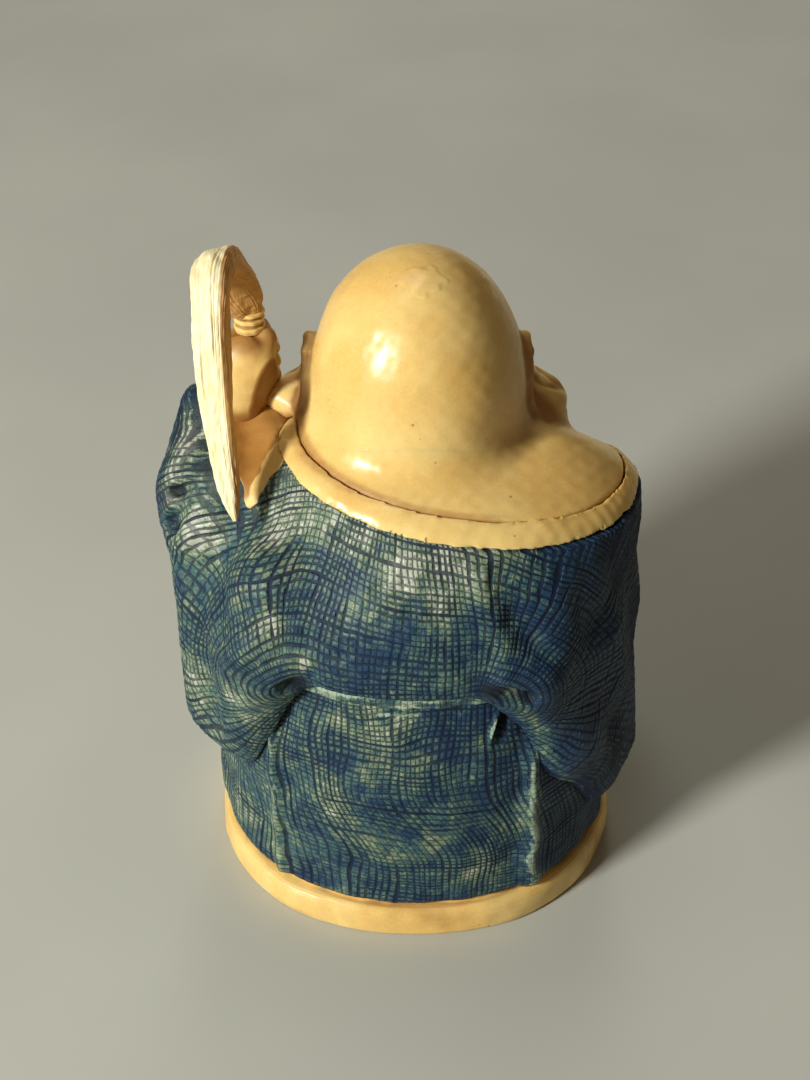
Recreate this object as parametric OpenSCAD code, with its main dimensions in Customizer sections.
// Standing monk figure with a raised fly whisk, built up from carved blocks that are pegged together.
// Millimetres. +Z is up, -Y is the figure's front, +X is its left. The origin is the centre of the foot.

/* [Plinth] */
// Width of the oval plinth, left to right
plinth_w = 41.4; // [39:0.1:43]
// Depth of the oval plinth, front to back
plinth_d = 39.2; // [37:0.1:41]
// Height of the plinth
plinth_h = 3.5; // [3:0.1:4.5]

/* [Robe] */
// Height of the skirt's top edge
waist_z = 28.6; // [27:0.1:29]
// Height of the sash round the waist
sash_h = 1.9; // [1.5:0.1:2.5]
// Height of the neckline over the origin
neck_z0 = 44.95; // [44.5:0.05:45.5]
// Rise of the neckline per millimetre towards the raised arm
neck_tilt = 0.13; // [0.1:0.01:0.15]
// How far the neckline dips at the front
neck_dip = 8; // [7:0.1:9]
// Height of the collar band
collar_h = 1.55; // [1.2:0.05:2]

/* [Head] */
// Height of the head's top
head_top = 64; // [62:0.1:65]
// Height of the flat seat where the head meets the shoulders
seat_z = 46.2; // [45.5:0.1:47]
// Half the width of the skull
skull_r = 9.8; // [9:0.1:10.5]

/* [Whisk] */
// Radius of the whisk's handle
handle_r = 0.9; // [0.7:0.05:1.1]
// Height of the handle's foot
handle_z0 = 45; // [44.8:0.1:45.2]
// Height of the handle's top
handle_z1 = 55.4; // [55:0.1:56]
// Radius of the ferrule that binds the hair
ferrule_r = 1.45; // [1.3:0.05:1.7]

/* [Pegs] */
// Radius of the large pegs in the body
peg_r = 1.5; // [1.2:0.1:2]
// Radius of the small pegs in the wrists and sleeves
small_peg_r = 0.75; // [0.6:0.05:0.9]
// Glue gap round each peg
glue_gap = 0.04; // [0.02:0.01:0.08]

/* [Hidden] */

steps = 72;            // points round each loft section
roundness = 2.1;       // superellipse power of the plinth and skirt
clear = 0.05;          // hairline left between two carved blocks
ball_fn = 20;          // facets of the balls inside a hull
robe_z0 = waist_z + sash_h + clear;
neck_oval = [-4, -1, 17, 15];        // centre x, centre y, half width, half depth
groove_oval = [-5, -1.3, 16, 13];    // the collar's inner edge
peg_x = 9;             // pegs in the plinth and waist stand at +x and -x
handle_at = [15.4, -6.5];
shoulder_peg_at = [-3, 0];
neck_peg_at = [0, -2];
eye_at = [3.6, -12.0, 53.2];
eye_r = 0.85;

robe_blue = [0.16, 0.27, 0.38];
ivory = [0.93, 0.76, 0.42];
pale_ivory = [0.95, 0.89, 0.68];
horn = [0.12, 0.07, 0.04];
bamboo = [0.70, 0.50, 0.28];

// ---------------------------------------------------------------- helpers

function curve(c, n) = sign(c) * pow(abs(c), 2 / n);

// One superellipse section as [x, y] points; oval is [centre x, centre y, half width, half depth].
function oval_xy(oval, n = 2) =
    [for (i = [0:steps - 1]) let (t = 360 * i / steps)
        [oval[0] + oval[2] * curve(cos(t), n), oval[1] + oval[3] * curve(sin(t), n)]];

function flat_ring(z, oval, n = 2) = [for (p = oval_xy(oval, n)) [p[0], p[1], z]];
function lerp(a, b, s) = a + (b - a) * s;
function mean(ring, k) = [for (p = ring) p[k]] * [for (p = ring) 1] / len(ring);

// Height of the neckline: it tilts up to the raised arm and dips at the front.
function neck_z(p) = neck_z0 + neck_tilt * p[0] - neck_dip * pow(max(0, 1 - p[1]) / 17, 1.6);
function neck_ring(oval, lift) = [for (p = oval_xy(oval)) [p[0], p[1], neck_z(p) + lift]];

// A closed solid through a stack of rings with the same number of points.
// low and high are the heights of the two caps' middle points.
module loft(rings, low, high) {
    n = len(rings[0]);
    m = len(rings);
    points = concat([for (r = rings) each r],
        [[mean(rings[0], 0), mean(rings[0], 1), low],
         [mean(rings[m - 1], 0), mean(rings[m - 1], 1), high]]);
    sides = [for (j = [0:m - 2]) for (i = [0:n - 1])
        let (a = j * n + i, b = j * n + (i + 1) % n) each [[a, a + n, b], [b, a + n, b + n]]];
    bottom = [for (i = [0:n - 1]) [i, (i + 1) % n, m * n]];
    top = [for (i = [0:n - 1]) let (o = (m - 1) * n) [o + (i + 1) % n, o + i, m * n + 1]];
    polyhedron(concat(points), concat(sides, bottom, top), convexity = 6);
}

module ball(b) translate([b[0], b[1], b[2]]) sphere(r = b[3], $fn = ball_fn);
// The same ball or point on the other side of the figure.
function across(b) = concat([-b[0]], [for (i = [1:len(b) - 1]) b[i]]);
module limb(balls) hull() for (b = balls) ball(b);
module peg(r, h) cylinder(r = r, h = h, center = true, $fn = 32);
module pair_of_pegs(r, z, h) for (s = [-1, 1]) translate([s * peg_x, 0, z]) peg(r, h);
module mirrored_pair() for (s = [0, 1]) mirror([s, 0, 0]) children();

// ---------------------------------------------------------------- the carved forms

// Two worn ridges run down the back of the skirt.
function ridge(x, at) = 0.022 * exp(-pow((x - at) / 1.3, 2));
function pleat(p) = p[1] < 0 ? 1 : 1 + ridge(p[0], 13.6) + ridge(p[0], -10.8);

// The whole skirt from plinth to waist, grown by g.
module skirt_form(g = 0) {
    sections = [[plinth_h + clear, 20.1, 18.9], [6, 20.3, 19.1], [12, 20.0, 18.9],
                [20, 19.2, 18.2], [waist_z - 2, 18.6, 17.6], [waist_z, 18.2, 17.2]];
    loft([for (s = sections) [for (p = oval_xy([0, 0, s[1] + g, s[2] + g], roundness))
            [p[0] * pleat(p), p[1] * pleat(p), s[0]]]],
        sections[0][0], waist_z);
}

// The upper robe from sash to neckline, grown by g.
module robe_form(g = 0) {
    // share of the way up, then the section's centre and half sizes
    sections = [[0, 0, 0, 19.0, 18.0], [0.1, 0, 0, 19.6, 18.6], [0.4, -0.6, 0, 19.4, 18.2],
                [0.75, -2, -0.4, 18.6, 17.0], [0.92, -3.4, -0.8, 17.7, 15.8], [1, -4, -1, 17, 15]];
    rings = [for (s = sections)
        [for (p = oval_xy([s[1], s[2], s[3] + g, s[4] + g])) [p[0], p[1], lerp(robe_z0, neck_z(p), s[0])]]];
    loft(rings, robe_z0, neck_z0);
}

// The bare shoulders and chest inside the collar, up to the head's seat, grown by g.
module shoulders_form(g = 0) {
    // share of the collar's inner oval, then the share of the way from the collar up to the seat
    sections = [[0.995, 0], [0.995, 0.2], [0.93, 0.5], [0.8, 0.8], [0.6, 0.96], [0.45, 1]];
    o = groove_oval;
    bump = function (p) 1.6 * exp(-(pow(p[0] + 13, 2) + pow(p[1] - 1, 2)) / 26);
    rings = [for (s = sections)
        [for (p = oval_xy([o[0] * s[0], o[1] * s[0], o[2] * s[0] + g, o[3] * s[0] + g]))
            [p[0], p[1], lerp(neck_z(p) + clear, seat_z - clear, s[1]) + bump(p) * min(1, 2 * s[1]) + g]]];
    loft(rings, neck_z0 + clear, seat_z - clear + g);
}

// ---------------------------------------------------------------- foot and skirt

module plinth() {
    a = plinth_w / 2;
    b = plinth_d / 2;
    edge = 0.5;
    sections = [[0, edge], [edge, 0], [plinth_h - edge, 0], [plinth_h - 0.1, 0.25], [plinth_h, 0.6]];
    color(ivory) difference() {
        loft([for (s = sections) flat_ring(s[0], [0, 0, a - s[1], b - s[1]], roundness)], 0, plinth_h);
        pair_of_pegs(peg_r, plinth_h, 4);
    }
}

module plinth_pegs() color(bamboo) pair_of_pegs(peg_r - glue_gap, plinth_h, 3.9);

module skirt() color(robe_blue) difference() {
    skirt_form();
    pair_of_pegs(peg_r, plinth_h, 4.2);
    pair_of_pegs(peg_r, waist_z, 6);
}

module sash() {
    sections = [[waist_z + clear, 18.3, 17.3], [waist_z + 0.5, 18.6, 17.6],
                [waist_z + sash_h - 0.5, 18.6, 17.6], [waist_z + sash_h, 18.3, 17.3]];
    color(robe_blue) difference() {
        loft([for (s = sections) flat_ring(s[0], [0, 0, s[1], s[2]], roundness)],
            waist_z + clear, waist_z + sash_h);
        pair_of_pegs(peg_r, waist_z, 12);
    }
}

module waist_pegs() color(bamboo) pair_of_pegs(peg_r - glue_gap, waist_z + sash_h / 2, 7.5);

// ---------------------------------------------------------------- upper robe and sleeves

module upper_robe() color(robe_blue) difference() {
    robe_form();
    pair_of_pegs(peg_r, waist_z + sash_h / 2, 8);
    translate([shoulder_peg_at[0], shoulder_peg_at[1], neck_z0]) peg(peg_r, 10);
    translate([neck_peg_at[0], neck_peg_at[1], seat_z]) peg(peg_r, 5);
    for (s = [-1, 1]) translate([s * 17.6, 1, 33.5]) rotate([0, 90, 0]) peg(small_peg_r, 5);
}

module sleeve_pegs() color(bamboo)
    for (s = [-1, 1]) translate([s * 18.6, 1, 33.5]) rotate([0, 90, 0]) peg(small_peg_r - glue_gap, 4.6);

// Raised left sleeve: shoulder, elbow, a cuff that opens upwards, and the long hanging bag.
module left_sleeve() {
    shoulder = [14.0, 1.5, 40.6, 4.8];
    blade = [12.4, 7.2, 40.2, 4.4];
    elbow = [19.6, -1.0, 39.0, 5.0];
    cuff_out = [20.6, -5.0, 45.6, 2.4];
    cuff_in = [15.6, -8.6, 42.6, 2.6];
    flank = [18.0, 3.6, 31.0, 5.1];
    rear_top = [12.6, 12.2, 32.8, 3.4];
    rear_low = [15.0, 10.6, 22.0, 3.0];
    bag = [18.2, 4.6, 21.0, 4.7];
    bag_foot = [17.6, 6.8, 16.8, 4.0];
    front_top = [18.4, -5.0, 32.0, 4.2];
    front_low = [18.8, -1.6, 21.0, 3.6];
    color(robe_blue) difference() {
        union() {
            limb([shoulder, blade, elbow]);
            limb([elbow, cuff_out, cuff_in]);
            limb([shoulder, elbow, cuff_in]);
            limb([shoulder, blade, elbow, flank]);
            limb([blade, flank, rear_top]);
            limb([flank, rear_top, rear_low, bag]);
            limb([bag, rear_low, bag_foot]);
            limb([elbow, flank, front_top]);
            limb([cuff_in, elbow, front_top]);
            limb([flank, bag, front_top, front_low]);
            limb([front_low, bag, bag_foot]);
        }
        robe_form(clear);
        skirt_form(clear);
        translate([0, 0, waist_z]) linear_extrude(sash_h + 2 * clear)
            polygon(oval_xy([0, 0, 18.7, 17.7], roundness));
        collar_form(clear);
        shoulders_form(clear);
        translate([handle_at[0], handle_at[1], handle_z0 - 1.6]) cylinder(r = handle_r + 0.6, h = 8, $fn = 32);
        // wrist opening, a blind socket that runs down the forearm
        translate([17.6, -7.2, 46.2]) rotate([0, 10, 0]) cylinder(r1 = 2.1, r2 = 3.2, h = 9, center = true, $fn = 32);
        translate([17.0, -7.0, 40.6]) peg(small_peg_r, 5);
        translate([17.6, 1, 33.5]) rotate([0, 90, 0]) peg(small_peg_r, 7);
    }
}

// Lowered right sleeve: it falls almost to the plinth and opens forwards at hip height.
module right_sleeve() {
    shoulder = [-15.2, 1.5, 36.6, 5.8];
    blade = [-12.5, 10.4, 36.0, 4.4];
    flank = [-16.4, 3.6, 28.0, 5.2];
    rear_top = [-9.6, 14.4, 31.6, 3.8];
    rear_mid = [-13.2, 11.8, 21.0, 3.6];
    rear_low = [-15.8, 8.8, 12.6, 3.6];
    bag = [-18.2, 3.6, 14.0, 5.0];
    bag_foot = [-18.0, 4.6, 11.4, 4.6];
    front_top = [-16.6, -5.0, 31.0, 4.8];
    cuff_top = [-18.2, -7.6, 22.0, 3.6];
    cuff_foot = [-18.8, -4.0, 12.4, 3.4];
    color(robe_blue) difference() {
        union() {
            limb([shoulder, blade, flank]);
            limb([blade, rear_top, flank]);
            limb([flank, rear_top, rear_mid]);
            limb([flank, rear_mid, bag]);
            limb([rear_mid, rear_low, bag, bag_foot]);
            limb([shoulder, flank, front_top]);
            limb([flank, front_top, cuff_top, bag]);
            limb([cuff_top, cuff_foot, bag]);
            limb([cuff_foot, bag, bag_foot]);
        }
        robe_form(clear);
        skirt_form(clear);
        translate([0, 0, waist_z]) linear_extrude(sash_h + 2 * clear)
            polygon(oval_xy([0, 0, 18.7, 17.7], roundness));
        shoulders_form(clear);
        collar_form(clear);
        right_wrist() translate([0, 0, 2.2]) cylinder(r1 = 1.8, r2 = 2.8, h = 7, $fn = 32);
        right_wrist() peg(small_peg_r, 8);
        translate([-17.6, 1, 33.5]) rotate([0, 90, 0]) peg(small_peg_r, 7);
    }
}

// ---------------------------------------------------------------- collar, shoulders and head

// The collar band before its neck hole is cut, grown by g.
module collar_form(g = 0) {
    // centre, half sizes and height over the neckline
    sections = [[-4, -1, 17, 15, clear], [-4, -1, 17, 15, 0.5], [-4.4, -1.1, 16.7, 14.3, 1.2],
                [-4.8, -1.2, 16.3, 13.5, collar_h]];
    loft([for (s = sections) neck_ring([s[0], s[1], s[2] + g, s[3] + g], s[4] + (s[4] > 1 ? g : 0))],
        neck_z0 + clear, neck_z0 + collar_h + g);
}

module collar() color(ivory) difference() {
    collar_form();
    loft([neck_ring(groove_oval, -9), neck_ring(groove_oval, 6)], neck_z0 - 12, neck_z0 + 8);
}

module shoulders() color(ivory) difference() {
    shoulders_form();
    translate([0, 0, clear]) robe_form();
    translate([shoulder_peg_at[0], shoulder_peg_at[1], neck_z0]) peg(peg_r, 10);
    translate([neck_peg_at[0], neck_peg_at[1], seat_z]) peg(peg_r, 5);
}

module shoulder_peg() color(bamboo) translate([shoulder_peg_at[0], shoulder_peg_at[1], 42.2]) peg(peg_r - glue_gap, 4);

module head() {
    skull = [0, -3, head_top - skull_r, skull_r];
    nape = [0, -2.6, 50.6, 9.3];
    cheek = [7.0, -8.2, 49.4, 4.4];
    jowl = [10.4, -7.8, 46.4, 2.9];
    jaw = [6.6, -11.6, 43.6, 3.0];
    chin = [0, -12.8, 46.0, 4.2];
    beard = [0, -15.2, 40.6, 2.6];
    color(ivory) difference() {
        union() {
            limb([skull, nape]);
            limb([nape, cheek, across(cheek)]);
            mirrored_pair() limb([nape, cheek, jowl]);
            mirrored_pair() limb([cheek, jowl, jaw, chin]);
            limb([jaw, across(jaw), chin, beard]);
            limb([[0, -12.8, 54.2, 1.0], [0, -14.4, 51.2, 1.7]]);
            mirrored_pair() limb([[2.4, -11.7, 55.6, 1.2], [6.0, -9.9, 55.2, 1.1]]);
            mirrored_pair() limb([[10.0, -4.0, 54.2, 1.5], [10.4, -4.4, 50.6, 1.2], [11.0, -5.2, 47.4, 1.7]]);
        }
        shoulders_form(clear);
        collar_form(clear);
        translate([0, 0, clear]) robe_form(clear);
        translate([0, -2, seat_z - 20]) cylinder(r = 9.5, h = 20, $fn = 48);
        translate([neck_peg_at[0], neck_peg_at[1], seat_z]) peg(peg_r, 5);
        mirrored_pair() translate(eye_at) sphere(r = eye_r + 0.05, $fn = 24);
    }
}

module neck_peg() color(bamboo) translate([neck_peg_at[0], neck_peg_at[1], seat_z]) peg(peg_r - glue_gap, 4.4);
module left_eye() color(horn) translate(eye_at) sphere(r = eye_r, $fn = 32);
module right_eye() color(horn) translate(across(eye_at)) sphere(r = eye_r, $fn = 32);

// ---------------------------------------------------------------- hands

// A closed fist round the whisk's handle, on a short wrist with a peg.
module left_hand() {
    c = handle_at;
    color(ivory) difference() {
        union() {
            limb([[c[0] + 1.4, c[1] + 0.4, 48.6, 1.7], [c[0] + 1.45, c[1] + 0.45, 52.4, 1.7]]);
            limb([[c[0] + 1.8, c[1] + 0.2, 48.4, 1.5], [17.3, -7.1, 44.2, 1.7]]);
            for (k = [0:3]) let (z = 48.2 + 1.5 * k) {
                limb([[c[0] + 1.0, c[1] - 1.8, z, 0.85], [c[0] - 1.2, c[1] - 1.4, z + 0.1, 0.86]]);
                limb([[c[0] - 1.23, c[1] - 1.37, z + 0.07, 0.85], [c[0] - 1.4, c[1] + 0.8, z, 0.8]]);
            }
            limb([[c[0] + 0.6, c[1] + 1.8, 50.0, 1.0], [c[0] - 1.0, c[1] + 1.6, 53.0, 0.85]]);
        }
        translate([c[0], c[1], 50]) cylinder(r = handle_r + glue_gap, h = 14, center = true, $fn = 32);
        translate([c[0], c[1], handle_z0 + 0.2]) sphere(r = handle_r + 0.45, $fn = 32);
        translate([17.0, -7.0, 43]) peg(small_peg_r, 4);
    }
}

module left_wrist_peg() color(bamboo) translate([17.0, -7.0, 41.5]) peg(small_peg_r - glue_gap, 5.4);

// Places its children on the right wrist's line, which runs forwards and slightly outwards.
module right_wrist() translate([-20.4, -5.4, 18.6]) rotate([90, 0, -6]) children();

// A half closed hand that rests beside the hip.
module right_hand() {
    color(ivory) difference() {
        union() {
            limb([[-20.8, -9.4, 18.6, 1.5], [-21.0, -12.0, 18.4, 1.7]]);
            for (k = [0:3]) let (z = 16.6 + 1.15 * k) {
                limb([[-21.2, -12.6, z, 0.75], [-20.3, -15.4, z - 0.2, 0.7]]);
                limb([[-20.33, -15.37, z - 0.17, 0.71], [-18.7, -15.6, z - 0.4, 0.62]]);
            }
            limb([[-20.4, -11.4, 19.9, 0.85], [-19.4, -14.0, 20.6, 0.7]]);
        }
        right_wrist() peg(small_peg_r, 12);
    }
}

module right_wrist_peg() color(bamboo)
    right_wrist() translate([0, 0, 1.9]) peg(small_peg_r - glue_gap, 7.4);

// ---------------------------------------------------------------- whisk

module whisk_handle() color(bamboo) translate([handle_at[0], handle_at[1], handle_z0]) {
    cylinder(r = handle_r, h = handle_z1 - handle_z0, $fn = 32);
    translate([0, 0, 0.2]) sphere(r = handle_r + 0.35, $fn = 32);
}

module whisk_ferrule() color(ivory) translate([handle_at[0], handle_at[1], handle_z1 - 1]) difference() {
    cylinder(r = ferrule_r, h = 2.2, $fn = 40);
    translate([0, 0, -1]) cylinder(r = handle_r + 0.02, h = 2.05, $fn = 32);
}

// Middle line of the hair with its half width and half thickness: up from the ferrule, over the
// top, and down behind the shoulder to a point.
hair_path = [[handle_at[0], handle_at[1], handle_z1 + 1.25, 0.9, 0.9],
             [handle_at[0], handle_at[1], handle_z1 + 2.2, 1.3, 1.1], [15.9, -6.7, 59.8, 1.7, 1.2],
             [16.8, -5.5, 62.2, 1.9, 1.15], [17.6, -2.9, 62.9, 1.9, 1.05], [18.1, -0.6, 61.8, 1.9, 1.0],
             [18.3, 1.4, 59.2, 1.85, 0.95], [18.1, 3.2, 55.6, 1.7, 0.9], [17.5, 5.0, 51.4, 1.45, 0.8],
             [16.8, 6.7, 47.6, 1.1, 0.65], [16.1, 8.0, 44.4, 0.5, 0.4]];

module whisk_hair() {
    sides = 20;
    last = len(hair_path) - 1;
    rings = [for (i = [0:last])
        let (p = hair_path[i],
             d = hair_path[min(i + 1, last)] - hair_path[max(i - 1, 0)],
             t = [d[0], d[1], d[2]] / norm([d[0], d[1], d[2]]),
             side = [1, 0, 0] - t * t[0],
             u = side / norm(side),
             v = cross(t, u))
        [for (k = [0:sides - 1]) let (a = -360 * k / sides)
            [p[0], p[1], p[2]] + u * p[3] * cos(a) + v * p[4] * sin(a)]];
    n = sides;
    m = len(rings);
    ends = [[hair_path[0][0], hair_path[0][1], hair_path[0][2]],
            [hair_path[last][0], hair_path[last][1] + 0.1, hair_path[last][2] - 0.5]];
    faces = concat(
        [for (j = [0:m - 2]) for (i = [0:n - 1])
            let (a = j * n + i, b = j * n + (i + 1) % n) each [[a, b, a + n], [b, b + n, a + n]]],
        [for (i = [0:n - 1]) [(i + 1) % n, i, m * n]],
        [for (i = [0:n - 1]) let (o = (m - 1) * n) [o + i, o + (i + 1) % n, m * n + 1]]);
    color(pale_ivory) polyhedron(concat([for (r = rings) each r], ends), faces, convexity = 6);
}

plinth();
plinth_pegs();
skirt();
sash();
waist_pegs();
upper_robe();
left_sleeve();
right_sleeve();
sleeve_pegs();
collar();
shoulders();
shoulder_peg();
neck_peg();
head();
left_eye();
right_eye();
left_hand();
left_wrist_peg();
right_hand();
right_wrist_peg();
whisk_handle();
whisk_ferrule();
whisk_hair();
